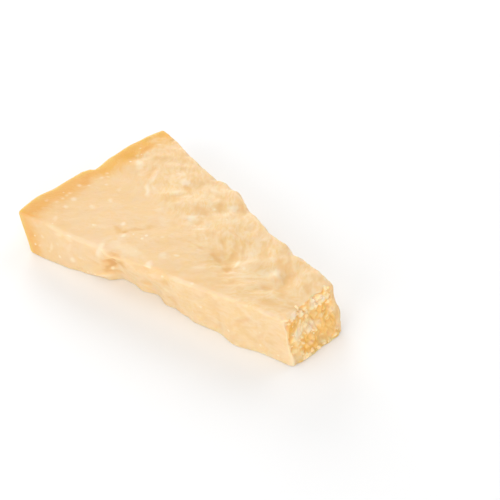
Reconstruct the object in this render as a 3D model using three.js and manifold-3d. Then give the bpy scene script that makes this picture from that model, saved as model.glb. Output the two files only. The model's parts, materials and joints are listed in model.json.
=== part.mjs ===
// A wedge of hard, aged grating cheese, lying on one of its two broad faces.
//
// The wedge is a sector of a round wheel. The rind, a short piece of the wheel's rim, closes
// its wide end, and its thin end has been broken off, which leaves a face of loose crumbs.
// The broad faces and the long sides were split rather than sliced, so they are uneven:
// calm near the rind, and wavy and pitted towards the break.
//
// Places on the wedge are given as [along, across, up]: along runs from the rind towards
// the wheel's centre, across is negative on the front side and positive on the back side,
// and up starts at the table. All lengths are in millimetres. The part's own frame has its
// origin on the table in the middle of the footprint, +X towards the broken end, +Z up.

import * as THREE from "three";
import { mergeVertices } from "three/addons/utils/BufferGeometryUtils.js";
import Module from "manifold-3d";

const { clamp, degToRad, lerp, smoothstep } = THREE.MathUtils;

// Driving dimensions
const WHEEL_RADIUS = 200; // from the wheel's centre to the outside of the rind
const OPENING = degToRad(25); // between the two long sides
const LENGTH = 136; // from the rind to the break
const THICK_AT_RIND = 19.7;
const THICK_AT_BREAK = 24.8;
const EDGE = 1.8; // how round the upper edges and the upright corners are
const FOOT_EDGE = 0.6; // how round the edge on the table is
const RIND_LEAN = 3.7; // how far the rind's foot is set in under its top
const RIND_REACH = 45; // how far from the rind its unevenness has died away
const WHEEL_CENTRE = [128.5, -0.3]; // the wheel's centre in the part's own frame, x and y

// How far each outline stands out of the plain sector: [place, offset] where it turns.
// On the long sides the place is the distance from the rind, at the table or at the top.
const FRONT_FOOT = [[0, 0.3], [13, 1.1], [25, 0.9], [33, -0.4], [45, -2.3], [51, -6.2], [56, -6], [62, -4.4], [69, -5.8],
  [76, -2.7], [80, -2.9], [86, -1.8], [92, -0.5], [103, -0.9], [113, 1.5], [126, -0.5], [136, -0.7]];
const FRONT_TOP = [[8, -0.4], [28, 1.2], [42, 0.8], [51, 2.6], [60, 1.4], [70, 0.9], [83, 1.5], [115, -0.1]];
const BACK_FOOT = [[0, 1.2], [30, 2.6], [50, 0.8], [72, 3.4], [96, 1], [118, 3.4], [136, 3.4]];
const BACK_TOP = [[0, 1.2], [8, 1.4], [27, 0.2], [42, 0.3], [47, 0.7], [53, 3.2], [62, 3.5], [70, 2], [77, 0.3],
  [87, -0.6], [93, -1.1], [97, -0.4], [104, 0.9], [110.5, -0.6], [117, 1.1], [136, 1.8]];
// On the ends the place is the distance across. The rind's top has a notch near the middle.
const RIND_TOP = [[-43, 2.6], [-32, 2.7], [-20, 0.2], [-5, -0.2], [-1.5, -1.1], [1, -3.4], [13, -0.9],
  [26, 0.8], [43, 1.9]];
const BREAK_FOOT = [[-15, 4.4], [-11.8, 4.6], [-8.4, 5.9], [-2.6, 6.9], [3, 6.4], [5.9, 6.7], [9.5, 6],
  [13, 4.1], [14, 2.3]];

// Hollows and lumps, as seen on the top (along, across) and on the front side (along, up)
const TOP_DENTS = [
  { at: [93, -4], reach: [6.5, 4.6], depth: 1.8 }, // the deeper pit
  { at: [119, 4.5], reach: [7, 6.5], depth: 1.7 }, // the bowl near the break
  { at: [116.5, 3.4], reach: [2.8, 2.6], depth: -1.8 }, // the lump standing in that bowl
  { at: [99, 9], reach: [9, 4], depth: 0.9 },
  { at: [70, 8], reach: [8, 5], depth: 0.9 },
  { at: [108, -9], reach: [12, 3.2], depth: -0.6 },
];
const FRONT_DENTS = [
  { at: [50.5, 12.5], reach: [5.2, 4.2], depth: 3.2 }, // the pit above the broken foot
  { at: [41.5, 3], reach: [4, 2.6], depth: -1.6 }, // the lip beside it
  { at: [67, 9], reach: [4, 4], depth: 0.8 },
  { at: [99, 16], reach: [6, 4], depth: 0.5 },
];
const BACK_DENTS = [{ at: [134, 7.5], reach: [14, 6], depth: -1.4 }]; // a swelling beside the break
const GRAIN_TURN = degToRad(44); // the direction in which the curd was drawn out
const GRAIN_STRETCH = 2.4; // how much longer than wide its waves are
const ROUGH_SLOPE = 2.5; // the calm corner is bounded by along + this times across
const ROUGH_FROM = 40;
const ROUGH_TO = 78;

// The crumbs of the broken end
const CRUMB_PITCH = 2.6; // between neighbours
const CRUMB_SIZE = [1.15, 2.15]; // smallest and largest radius
const CRUMB_RIM = 2.6; // the smooth border that is left round them
const CRUMB_SINK = 0.5; // how deep a crumb's middle is buried, as a share of its radius

// How finely each direction is divided, and how many rows turn each rounded edge
const ROWS = { along: 62, across: 28, up: 11 };
const EDGE_ROWS = 2;

// A repeatable random number from 0 to 1 for a whole-numbered place.
function scatter(i, j, seed) {
  const raw = Math.sin(i * 127.1 + j * 311.7 + seed * 74.7) * 43758.5453;
  return raw - Math.floor(raw);
}

// Smooth noise from -1 to 1 whose hills are one unit apart.
function hills(x, y, seed) {
  const [i, j] = [Math.floor(x), Math.floor(y)];
  const [ex, ey] = [smoothstep(x - i, 0, 1), smoothstep(y - j, 0, 1)];
  const low = lerp(scatter(i, j, seed), scatter(i + 1, j, seed), ex);
  const high = lerp(scatter(i, j + 1, seed), scatter(i + 1, j + 1, seed), ex);
  return 2 * lerp(low, high, ey) - 1;
}

// Hills of the given size with finer ones on them.
function layeredHills(x, y, size, layers, seed) {
  let sum = 0;
  for (let k = 0; k < layers; k += 1) {
    const finer = 2 ** k / size;
    sum += hills(x * finer + 17.3 * k, y * finer - 9.1 * k, seed + k) / 2 ** k;
  }
  return sum;
}

// The value of an outline at a place, eased from each turning point to the next.
function through(outline, place) {
  const next = outline.findIndex(([at]) => at > place);
  if (next === 0) return outline[0][1];
  if (next < 0) return outline.at(-1)[1];
  const [[from, start], [to, end]] = [outline[next - 1], outline[next]];
  return lerp(start, end, smoothstep(place, from, to));
}

// The sum of round dents at a point of a face.
function dents(list, x, y) {
  return list.reduce((sum, { at, reach, depth }) => {
    const away = ((x - at[0]) / reach[0]) ** 2 + ((y - at[1]) / reach[1]) ** 2;
    return sum + depth * Math.exp(-away);
  }, 0);
}

// 0 in the calm corner by the rind's front end, 1 where the curd has torn.
function roughness(along, across) {
  return smoothstep(along + ROUGH_SLOPE * across, ROUGH_FROM, ROUGH_TO);
}

// Height of the top's waves and pits over its plane.
function topRelief(along, across) {
  const [c, s] = [Math.cos(GRAIN_TURN), Math.sin(GRAIN_TURN)];
  const bend = 3 * layeredHills(along, across, 22, 2, 21);
  const withGrain = (along * c + across * s) / GRAIN_STRETCH;
  const overGrain = across * c - along * s + bend;
  const rough = roughness(along, across);
  const waves = 0.55 * layeredHills(withGrain, overGrain, 7, 2, 11) * lerp(0.15, 1, rough);
  const swell = 0.7 * layeredHills(along, across, 24, 1, 31) * lerp(0.35, 1, rough);
  return waves + swell - dents(TOP_DENTS, along, across);
}

// How far the front side's surface stands out of its outline.
function frontRelief(along, up) {
  const rough = smoothstep(along, 34, 60);
  return 0.5 * layeredHills(along, up, 8, 2, 3) * lerp(0.25, 1, rough) - dents(FRONT_DENTS, along, up);
}

function backRelief(along, up) {
  const rough = smoothstep(along, 30, 56);
  return 0.7 * layeredHills(along, up, 9, 2, 7) * lerp(0.2, 1, rough) - dents(BACK_DENTS, along, up);
}

function rindRelief(across, up) {
  return 0.25 * layeredHills(across, up, 12, 2, 5);
}

// The break is pitted between its crumbs.
function breakRelief(across, up) {
  return 0.9 * layeredHills(across, up, 5, 2, 9) - 0.5;
}

// How far the long side stands out of the plain sector at this distance and height.
function frontOutline(along, rise) {
  return lerp(through(FRONT_FOOT, along), through(FRONT_TOP, along), smoothstep(rise, 0, 0.85));
}

function backOutline(along, rise) {
  return lerp(through(BACK_FOOT, along), through(BACK_TOP, along), smoothstep(rise, 0, 0.85));
}

// How far the break stands out beyond its upper edge.
function breakLean(across, rise) {
  return through(BREAK_FOOT, across) * (1 - rise);
}

// The inset that rounds the edge on the table.
function footInset(up) {
  const below = clamp(1 - up / FOOT_EDGE, 0, 1);
  return FOOT_EDGE * (1 - Math.sqrt(1 - below * below));
}

// Spaces the rows: the outermost ones turn the rounded edges, the others are even.
function spread(share, size, rows, bothEnds = true) {
  const edge = EDGE_ROWS / rows;
  if (share > 1 - edge) return size - EDGE * ((1 - share) / edge) ** 1.5;
  if (!bothEnds) return (size - EDGE) * (share / (1 - edge));
  if (share < edge) return EDGE * (share / edge) ** 1.5;
  return lerp(EDGE, size - EDGE, (share - edge) / (1 - 2 * edge));
}

const halfWidth = (along) => (WHEEL_RADIUS - along) * (OPENING / 2);
const thickness = (along) => lerp(THICK_AT_RIND, THICK_AT_BREAK, clamp(along / LENGTH, 0, 1));

// Turns [along, across, up] on the sector into x, y and z of the part's own frame.
function inFrame(along, across, up) {
  const radius = WHEEL_RADIUS - along;
  const turn = across / radius;
  return new THREE.Vector3(
    WHEEL_CENTRE[0] - radius * Math.cos(turn),
    WHEEL_CENTRE[1] + radius * Math.sin(turn),
    up,
  );
}

// Carries a point of a unit box, each coordinate from 0 to 1, to the surface of the wedge.
function onWedge(u, v, w) {
  // A plain slab with rounded upper edges and corners
  const flat = spread(u, LENGTH, ROWS.along);
  const half = halfWidth(flat);
  const thick = thickness(flat);
  const corner = new THREE.Vector3(
    flat,
    spread(v, 2 * half, ROWS.across) - half,
    spread(w, thick, ROWS.up, false),
  );
  const core = corner.clone().clamp(
    new THREE.Vector3(EDGE, EDGE - half, 0),
    new THREE.Vector3(LENGTH - EDGE, half - EDGE, thick - EDGE),
  );
  const outward = corner.clone().sub(core).normalize();
  const slab = core.addScaledVector(outward, EDGE);

  // The leaning ends, and the rind's uneven rim
  const rise = clamp(slab.z / thick, 0, 1);
  const nearRind = clamp(1 - slab.x / RIND_REACH, 0, 1) ** 2;
  const rim = through(RIND_TOP, slab.y) * smoothstep(rise, 0.1, 1) - RIND_LEAN * (1 - rise) ** 1.4;
  const foot = footInset(slab.z);
  let along = slab.x - rim * nearRind + breakLean(slab.y, rise) * (slab.x / LENGTH) ** 2;
  along += foot * (1 - (2 * slab.x) / LENGTH) ** 3;

  // The wavy outlines of the long sides
  const side = slab.y < 0 ? frontOutline(along, rise) : backOutline(along, rise);
  let across = slab.y * (1 + (side - foot) / halfWidth(along));

  // Each face's own relief, blended over the edges
  const { x: endwise, y: sidewise, z: upward } = outward;
  let up = slab.z;
  if (w > 0) {
    const fromFoot = smoothstep(up, 0, 3);
    up += upward ** 2 * topRelief(along, across);
    const sideRelief = sidewise < 0 ? frontRelief(along, slab.z) : backRelief(along, slab.z);
    across += Math.sign(sidewise) * sidewise ** 2 * sideRelief * fromFoot;
    const endRelief = endwise < 0 ? rindRelief(across, slab.z) : breakRelief(across, slab.z);
    along += Math.sign(endwise) * endwise ** 2 * endRelief * fromFoot;
  }
  return inFrame(along, across, up);
}

// The foot of the wedge as a ring of unit-box points, counterclockwise as seen from above.
function footRing() {
  const ring = [];
  for (let i = 0; i < ROWS.along; i += 1) ring.push([i / ROWS.along, 0]);
  for (let j = 0; j < ROWS.across; j += 1) ring.push([1, j / ROWS.across]);
  for (let i = ROWS.along; i > 0; i -= 1) ring.push([i / ROWS.along, 1]);
  for (let j = ROWS.across; j > 0; j -= 1) ring.push([0, j / ROWS.across]);
  return ring;
}

// The body: the top and the four walls of a finely divided box are bent into shape,
// and one flat face closes the foot.
function wedgeGeometry() {
  const box = new THREE.BoxGeometry(1, 1, 1, ROWS.along, ROWS.across, ROWS.up);
  const underside = box.groups.find((group) => group.materialIndex === 5);
  const faces = [...box.index.array];
  faces.splice(underside.start, underside.count);
  const corners = box.getAttribute("position");
  const onRow = (value, rows) => Math.round((value + 0.5) * rows) / rows;

  const points = [];
  for (let i = 0; i < corners.count; i += 1) {
    const u = onRow(corners.getX(i), ROWS.along);
    const v = onRow(corners.getY(i), ROWS.across);
    points.push(onWedge(u, v, onRow(corners.getZ(i), ROWS.up)));
  }
  const ring = footRing().map(([u, v]) => onWedge(u, v, 0));
  const footFaces = THREE.ShapeUtils.triangulateShape(ring.map(({ x, y }) => new THREE.Vector2(x, y)), []);
  for (const [a, b, c] of footFaces) faces.push(...[a, c, b].map((place) => points.length + place));
  points.push(...ring);

  const geometry = new THREE.BufferGeometry().setFromPoints(points);
  geometry.setIndex(faces);
  return mergeVertices(geometry, 1e-3);
}

// One angular crumb of the broken end, at its row and column.
function crumbGeometry(row, column, place) {
  const dice = (seed) => scatter(row, column, seed);
  const size = lerp(...CRUMB_SIZE, dice(41) ** 1.5);
  const shape = new THREE.IcosahedronGeometry(size, 0);
  shape.deleteAttribute("normal");
  shape.deleteAttribute("uv");
  shape.scale(lerp(0.8, 1.05, dice(42)), lerp(0.8, 1.25, dice(43)), lerp(0.75, 1.15, dice(44)));
  shape.rotateX(dice(45) * Math.PI);
  shape.rotateZ(dice(46) * Math.PI);
  shape.translate(place.x - size * CRUMB_SINK, place.y, Math.max(place.z, size * 1.3));
  return mergeVertices(shape, 1e-4);
}

// Crumbs stand in uneven rows on the broken end, inside its smooth rim.
function crumbGeometries() {
  const crumbs = [];
  const width = 2 * (halfWidth(LENGTH) - CRUMB_RIM);
  const height = thickness(LENGTH) - CRUMB_RIM;
  const [columns, rows] = [Math.floor(width / CRUMB_PITCH), Math.floor(height / CRUMB_PITCH)];
  for (let row = 0; row <= rows; row += 1) {
    for (let column = 0; column <= columns; column += 1) {
      const jitter = (seed) => 0.8 * (scatter(row, column, seed) - 0.5);
      const plain = ((column + jitter(51) + (row % 2) / 2) / (columns + 0.5) - 0.5) * width;
      const up = 1.5 + ((row + jitter(52)) / rows) * (height - 1.5);
      const rise = up / thickness(LENGTH);
      const side = plain < 0 ? frontOutline(LENGTH, rise) : backOutline(LENGTH, rise);
      const across = plain * (1 + side / halfWidth(LENGTH));
      const along = LENGTH + breakLean(plain, rise) + breakRelief(across, up);
      crumbs.push(crumbGeometry(row, column, inFrame(along, across, up)));
    }
  }
  return crumbs;
}

const wasm = await Module();
wasm.setup();

// Closed geometry to a solid that can be joined, and back.
function solidOf(geometry) {
  return new wasm.Manifold(new wasm.Mesh({
    numProp: 3,
    vertProperties: new Float32Array(geometry.getAttribute("position").array),
    triVerts: new Uint32Array(geometry.index.array),
  }));
}

function geometryOf(solid) {
  const mesh = solid.getMesh();
  const geometry = new THREE.BufferGeometry();
  geometry.setAttribute("position", new THREE.BufferAttribute(mesh.vertProperties, 3));
  geometry.setIndex(new THREE.BufferAttribute(mesh.triVerts, 1));
  geometry.computeVertexNormals();
  return geometry;
}

// The whole wedge is one solid: the body with its crumbs grown onto it.
function parmesanWedge() {
  const body = solidOf(wedgeGeometry());
  const whole = crumbGeometries().reduce((solid, crumb) => solid.add(solidOf(crumb)), body);
  const paste = new THREE.MeshStandardMaterial({ color: 0xf7d7a8, roughness: 0.55, metalness: 0 });
  const mesh = new THREE.Mesh(geometryOf(whole), paste);
  mesh.name = "parmesan_wedge";
  return mesh;
}

const cheese = new THREE.Group();
cheese.add(parmesanWedge());

export default cheese;
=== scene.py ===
# %% [markdown]
# # A wedge of hard, aged grating cheese
#
# The wedge lies flat on a white table. Its top and its long sides are split faces, its wide
# end is a strip of the wheel's rind, and its thin end has been broken off, so it shows the
# crumbs. This lesson builds it in four steps: a smooth body bent out of a finely divided
# slab, a torn relief on its faces, a paste material whose colours follow that relief, and
# crumbs scattered over the broken end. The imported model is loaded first: it gives the frame
# and the size, and the new meshes stand in its place.

import json
import math

import bpy
import numpy as np
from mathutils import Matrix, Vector

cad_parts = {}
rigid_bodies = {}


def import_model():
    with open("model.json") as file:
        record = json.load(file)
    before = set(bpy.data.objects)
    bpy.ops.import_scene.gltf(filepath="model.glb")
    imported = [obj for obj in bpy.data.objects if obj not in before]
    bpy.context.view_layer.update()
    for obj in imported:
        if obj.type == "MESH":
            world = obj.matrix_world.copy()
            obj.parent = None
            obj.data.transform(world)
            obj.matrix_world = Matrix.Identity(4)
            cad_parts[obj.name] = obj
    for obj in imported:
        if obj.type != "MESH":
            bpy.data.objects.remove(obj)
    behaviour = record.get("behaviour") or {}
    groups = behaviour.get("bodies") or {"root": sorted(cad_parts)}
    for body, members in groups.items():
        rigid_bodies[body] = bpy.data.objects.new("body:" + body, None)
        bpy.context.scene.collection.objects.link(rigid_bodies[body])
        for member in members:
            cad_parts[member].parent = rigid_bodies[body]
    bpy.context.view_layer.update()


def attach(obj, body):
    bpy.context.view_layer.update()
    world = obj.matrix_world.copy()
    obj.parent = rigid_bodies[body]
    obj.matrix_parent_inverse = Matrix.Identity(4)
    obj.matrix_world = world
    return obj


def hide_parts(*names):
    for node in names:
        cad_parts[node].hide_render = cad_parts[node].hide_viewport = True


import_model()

# %% [markdown]
# ## Sizes
#
# The wedge is a sector of a round wheel, so a place on it is easiest to give as `along`, the
# distance from the rind towards the wheel's centre, `across`, negative on the front side, and
# `up`, the height over the table. All sizes are in millimetres until the mesh is made.

# %% Sizes of the wedge
MM = 0.001
WHEEL_RADIUS = 200.0  # from the wheel's centre to the outside of the rind
OPENING = math.radians(25.0)  # between the two long sides
LENGTH = 136.0  # from the rind to the break
THICK_AT_RIND = 19.7
THICK_AT_BREAK = 24.8
EDGE = 1.8  # how round the upper edges and the upright corners are
FOOT_EDGE = 0.6  # how round the edge on the table is
RIND_LEAN = 3.7  # how far the rind's foot is set in under its top
RIND_REACH = 45.0  # how far from the rind its unevenness has died away
WHEEL_CENTRE = (128.5, -0.3)  # the wheel's centre, x and y

# %% Outlines: how far each edge stands out of the plain sector, as (place, offset)
FRONT_FOOT = [
    (0, 0.3), (13, 1.1), (25, 0.9), (33, -0.4), (45, -2.3), (51, -6.2), (56, -6), (62, -4.4), (69, -5.8),
    (76, -2.7), (80, -2.9), (86, -1.8), (92, -0.5), (103, -0.9), (113, 1.5), (126, -0.5), (136, -0.7),
]
FRONT_TOP = [(8, -0.4), (28, 1.2), (42, 0.8), (51, 2.6), (60, 1.4), (70, 0.9), (83, 1.5), (115, -0.1)]
BACK_FOOT = [(0, 1.2), (30, 2.6), (50, 0.8), (72, 3.4), (96, 1), (118, 3.4), (136, 3.4)]
BACK_TOP = [
    (0, 1.2), (8, 1.4), (27, 0.2), (42, 0.3), (47, 0.7), (53, 3.2), (62, 3.5), (70, 2), (77, 0.3),
    (87, -0.6), (93, -1.1), (97, -0.4), (104, 0.9), (110.5, -0.6), (117, 1.1), (136, 1.8),
]
RIND_TOP = [
    (-43, 2.6), (-32, 2.7), (-20, 0.2), (-5, -0.2), (-1.5, -1.1), (1, -3.4), (13, -0.9), (26, 0.8),
    (43, 1.9),
]
BREAK_FOOT = [
    (-15, 4.4), (-11.8, 4.6), (-8.4, 5.9), (-2.6, 6.9), (3, 6.4), (5.9, 6.7), (9.5, 6), (13, 4.1),
    (14, 2.3),
]

# %% Hollows and lumps: place, reach both ways, depth
TOP_DENTS = [
    ((93, -4), (6.5, 4.6), 1.8),  # the deeper pit
    ((119, 4.5), (7, 6.5), 1.7),  # the bowl near the break
    ((116.5, 3.4), (2.8, 2.6), -1.8),  # the lump standing in that bowl
    ((99, 9), (9, 4), 0.9),
    ((70, 8), (8, 5), 0.9),
    ((108, -9), (12, 3.2), -0.6),
]
FRONT_DENTS = [
    ((50.5, 12.5), (5.2, 4.2), 3.2),  # the pit above the broken foot
    ((41.5, 3), (4, 2.6), -1.6),  # the lip beside it
    ((67, 9), (4, 4), 0.8),
    ((99, 16), (6, 4), 0.5),
]
BACK_DENTS = [((134, 7.5), (14, 6), -1.4)]  # a swelling beside the break

# %% Marks on the faces: place, reach along and across its own length, turn in degrees, strength
# A place is (along, across) on top, (along, up) on the front and (across, up) on the break.
TOP_AMBER = [
    # in the band by the rind
    ((5.9, -6.4), (2.6, 3), 0, 1.2), ((12.4, -26.4), (5, 3), -60, 0.35), ((8, 27.5), (5, 1.6), -65, 1.0),
    ((8.3, -9), (3.4, 2.4), 15, 1.0), ((3.5, -36), (3, 4), 0, 0.8), ((5, 6), (2.6, 6), 5, 0.6),
    ((5.5, 22), (2.4, 5), 0, 0.4), ((4, -31), (2, 3), 0, 0.7), ((6, -14), (2, 5), 0, 0.4),
    # between the band and the torn part
    ((24.5, 16), (5.5, 1.5), -65, 0.6), ((18, 24), (4, 1.2), -60, 0.35), ((46, 9), (5.5, 2.4), 45, 0.45),
    ((44.5, 7.5), (3, 1.7), -15, 0.5), ((46, 19), (2.2, 2), 0, 0.4), ((48, 13.5), (3.6, 1.1), -80, 0.45),
    ((58, 25), (6, 1.4), -5, 0.4),
    # over the torn part
    ((66, 20.5), (4, 1.5), -40, 0.5), ((62, 12.5), (5, 1.8), -5, 0.5), ((68, 6), (2, 2), 0, 0.55),
    ((75.8, 4), (3.6, 1.6), -60, 0.5), ((85, 3.3), (3.2, 1), -30, 0.6), ((92, 5), (3.4, 0.9), -40, 0.5),
    ((78.5, -5.5), (4.5, 0.8), 8, 0.4), ((75, -1.5), (2.5, 0.8), -35, 0.4), ((82, 10.8), (6, 0.7), -5, 0.4),
    ((70, 13), (3, 2.4), 80, 0.35), ((75, 23), (4, 2.4), -60, 0.35), ((103.5, 8.5), (3, 2), 60, 0.4),
    # the deeper pit
    ((91.5, 5), (4, 1.3), -45, 0.6), ((94.2, 0.5), (3.6, 1.6), -70, 0.7),
    ((89.5, -4.8), (4.2, 1.4), -15, 0.65), ((95, -4), (2.6, 2), -50, 0.6),
    ((97.3, -7), (2.8, 1.9), -45, 1.0), ((98, -10.5), (3.5, 1.2), 5, 0.5),
    # round the bowl near the break
    ((113, 9.8), (6, 1.5), -15, 0.5), ((121, 5.5), (4.6, 2), -60, 0.75),
    ((123.5, -0.5), (3.6, 2.4), -70, 0.7), ((126, -3), (3, 1.5), -60, 0.45),
    ((118.5, -5), (2.6, 1.8), 70, 0.6), ((124, -11), (4.2, 1.5), 25, 0.6),
    # beside them
    ((105, -12), (4.5, 1.2), 42, 0.4), ((130, 6.5), (4.5, 1.3), -30, 0.5),
    # the crack above the front pit
    ((52.4, -33.6), (3, 1), 10, 0.9), ((44, -21.5), (2.8, 1.5), -20, 0.8),
    ((47.3, -20.5), (2.2, 1.1), 45, 1.0), ((51, -15.5), (4.8, 1.1), 42, 0.7),
    ((54, -11.5), (2.8, 1.6), 50, 0.6),
]
TOP_PALE = [
    # the back half, from the rind to the break
    ((4.9, 34.5), (2.6, 4), 0, 0.3), ((16.3, 16.3), (3.6, 1.7), -40, 0.75),
    ((12.5, 24), (4, 1.4), -55, 0.4), ((29.4, 13.5), (4, 0.9), -65, 0.6), ((34, 6.2), (5, 1), -40, 0.85),
    ((34.5, 9.3), (1.8, 0.7), -30, 0.5), ((23, 12), (1.2, 1), 0, 0.4), ((34.5, 24), (1.9, 1.7), 0, 0.6),
    ((41, 22.3), (2.4, 1.9), 0, 0.8), ((44.5, 14), (2.6, 1.4), -80, 0.45), ((54, 26), (3, 1.4), -20, 0.4),
    ((63, 6.8), (2.2, 2), -40, 0.95), ((65, 17.2), (0.9, 0.9), 0, 0.95), ((62, 18), (2.6, 1.5), -20, 0.4),
    ((69.5, 24), (2.6, 2.1), 60, 0.6), ((71.8, 3), (2.6, 0.9), 50, 0.55), ((77, 0.8), (1.8, 0.5), -30, 0.5),
    ((78, 17.5), (2.6, 1.6), 70, 0.35), ((95.5, 18), (2.2, 1.5), 80, 0.6),
    ((98.6, -2), (2.6, 0.9), -75, 0.95), ((98.5, 7), (3, 1.8), 70, 0.35), ((107.5, 10), (1.6, 1.5), 0, 0.4),
    ((115, 4.5), (3.2, 1.6), -10, 0.7), ((111.5, 1.8), (3, 2), 20, 0.5), ((103, -2), (4, 2.4), -10, 0.35),
    ((106.5, -6), (5.5, 0.8), 45, 0.4), ((123, -6.5), (1.5, 1), 0, 0.4),
    # the front half, from the middle to the rind
    ((75.5, -16), (1.2, 0.8), 20, 0.75), ((56.5, -27.5), (9, 2.4), 12, 0.4),
    ((70.5, -19), (1.8, 1.6), 0, 0.55), ((69, -28), (2.4, 1.4), 80, 1.0),
    ((88, -14.5), (3.4, 0.8), 40, 0.4), ((43.3, -16.8), (1.1, 1.1), 0, 1.0),
    ((48.7, -22.6), (1.1, 0.9), 70, 1.0), ((49.5, -27), (2.4, 1.8), 0, 0.4),
    ((45, -34), (3.2, 1.5), -55, 0.9), ((28, -38.5), (2.2, 1.2), 0, 0.7), ((16, -35), (1.6, 1), -45, 0.4),
    ((23.8, -18.2), (1.5, 1.1), 0, 0.55), ((24.2, -2.2), (1.1, 1.1), 0, 0.35),
    ((27, -10), (1.6, 0.9), -20, 0.55), ((17.2, -3.5), (0.9, 0.8), 0, 0.6),
    ((13.2, -20.7), (1.4, 1), 0, 0.65), ((14.5, -26.5), (1.2, 0.9), 0, 0.7),
    ((33.5, -26), (0.8, 0.8), 0, 0.45), ((63, -12), (1, 0.8), 0, 0.5), ((57, -4), (4, 2), -10, 0.25),
    ((48.5, 0.5), (2.4, 1.6), 60, 0.3),
]
BAND_DOTS = [  # small white dots in and beside the band, as places alone
    (8.8, -18.8), (9, -21), (9.1, -23.5), (8.4, -27), (11.5, -9.5), (11, 2.3), (13.4, 1), (8, -12.5),
    (8.6, 34), (4, -29.5), (11.6, -1.4), (9.6, 21),
]
FRONT_AMBER = [
    # by the rind
    ((5, 7), (2.4, 7), 0, 1.1),
    # the pit above the broken foot: the paste's own amber, with painted shade where the marks turn brown
    ((55.5, 17), (2.6, 2.2), 0, 1.1), ((46, 6.3), (2.6, 1.3), 0, 1.0), ((49.5, 13), (7.8, 3), 50, 1.2),
    ((46.5, 8.5), (3.4, 2.4), 60, 1.1), ((54, 14.5), (3.6, 2.4), 60, 1.25), ((52, 18), (3.4, 1.6), 25, 1.2),
    ((49, 6), (3.4, 1.3), 0, 0.8), ((48.5, 18), (2.4, 1.8), 30, 0.5), ((55, 12.5), (1.8, 1.6), 0, 0.45),
    ((41, 10), (2, 1.5), 0, 0.35),
    # elsewhere
    ((66, 20), (2, 1.6), 0, 0.3), ((66.5, 10), (3, 2), 80, 0.4), ((78, 17.8), (2.8, 1.8), 30, 0.85),
    ((65.2, 7.9), (2.6, 1.8), 0, 0.6), ((79.9, 6.2), (3, 1.6), -60, 0.5), ((66.9, 20.4), (4, 1.2), 0, 0.5),
    ((62.6, 14.2), (2.5, 1.6), 0, 0.35), ((74.5, 13), (1.6, 1), 0, 0.4), ((102.5, 15), (4.5, 3.4), 80, 0.4),
    ((115.5, 14), (4.5, 1.6), 40, 0.5), ((125, 14), (5, 1.8), 80, 0.25), ((81.5, 8), (3, 2), 80, 0.3),
    ((113, 3.5), (3, 1.6), 40, 0.3), ((31, 2.5), (2, 1), 0, 0.35),
]
FRONT_PALE = [
    # between the rind and the pit
    ((44.5, 19), (5.5, 1.5), 66, 0.85), ((28.5, 19.5), (2.6, 1.8), 30, 0.55),
    ((22, 18.5), (3, 1.2), 10, 0.5), ((27.5, 13.5), (4, 1.1), 75, 0.4), ((17, 8.5), (2.9, 1), 70, 0.6),
    ((15.5, 5.5), (1, 0.9), 0, 0.5), ((11.5, 11.5), (1.1, 0.9), 0, 0.5), ((21, 12), (1.2, 0.8), 60, 0.4),
    ((28.3, 6.5), (1.3, 1.2), 0, 0.85), ((33, 9.5), (1.6, 1.3), 0, 0.5), ((38, 2), (1.6, 1), 0, 0.6),
    ((10, 6.5), (1.2, 0.8), 70, 0.5),
    # in the pit and beyond it
    ((48, 8.3), (1, 0.8), 30, 1.0), ((44.5, 3.4), (4.5, 1.2), 5, 0.55), ((72.8, 18.3), (2, 1.4), 0, 0.45),
    ((78.3, 13.1), (1.8, 1.2), 0, 0.4), ((58.9, 6.3), (0.8, 0.6), 0, 0.7), ((71, 24), (2.6, 1.1), 70, 0.8),
    ((103, 7), (2, 1.8), 0, 0.4),
]
BREAK_AMBER = [
    ((13.2, 12), (1.6, 9), 0, 0.5), ((3, 16), (2.3, 2), 0, 1.0), ((-3.5, 9.3), (2.3, 1.4), 0, 1.0),
    ((-8, 20.5), (2.8, 1.1), -20, 0.9), ((11, 16), (2.5, 1.5), 80, 0.9), ((9, 14.5), (1.4, 1), 0, 0.9),
    ((5.5, 6), (4, 1.3), 0, 0.8), ((-10, 8), (2.6, 2), 0, 0.6), ((-11.5, 13.5), (1.4, 1.2), 0, 0.8),
    ((10.5, 8), (2.2, 1.1), 0, 0.8), ((6, 23.7), (1.8, 1), 0, 0.7), ((8.5, 4.6), (6.5, 2), 12, 0.85),
    ((12.5, 16.5), (1.6, 2), 0, 0.8), ((-2.5, 17), (2.2, 1), -20, 0.6), ((-12, 22), (1.5, 1), 0, 0.5),
]
BREAK_PALE = [
    ((-8.3, 22.8), (2.6, 1.5), 25, 1.0), ((8.5, 21), (1.3, 1), 0, 0.8), ((3.5, 11.5), (2.4, 1.6), 0, 0.9),
    ((-7, 14), (2.6, 2.4), 0, 0.9), ((3.5, 21.5), (2.8, 2), -30, 0.9), ((2, 12), (3.4, 1.7), -10, 0.9),
    ((-8, 24), (1.8, 1), 0, 0.9), ((8.7, 22.3), (1.4, 1), 0, 0.9), ((6.8, 14), (1.6, 1), 0, 0.7),
    ((-3, 21.5), (1.2, 1), 0, 0.6), ((-2.5, 6.3), (2.2, 1.1), 0, 0.6), ((-1.5, 12), (1.6, 1.4), 0, 0.7),
]
BREAK_BORDER = [  # how far the crumbs come over the break's upper edge: below 0, they stop under it
    (-14, -0.3), (-11.5, -0.8), (-9.5, -2.6), (-7.5, -3.4), (-6, -2), (-4.5, 0.1), (0, 0), (5, 0.6),
    (9, 0.2), (12, 0.6), (15, 0.2),
]
BREAK_SMOOTH = [((-11, 2.4), (3.4, 2.4), 20, 1.2), ((9, 4.2), (5.5, 1.8), 12, 0.4)]  # where it has no crumbs
DOT_REACH, DOT_STRENGTH = (0.9, 0.7), 0.5
GRAIN_TURN = math.radians(44)  # the direction in which the curd was drawn out
BACK_GRAIN_TURN = math.radians(-52)  # and on the back half of the top
GRAIN_STRETCH = 2.4  # how much longer than wide its waves are

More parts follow.
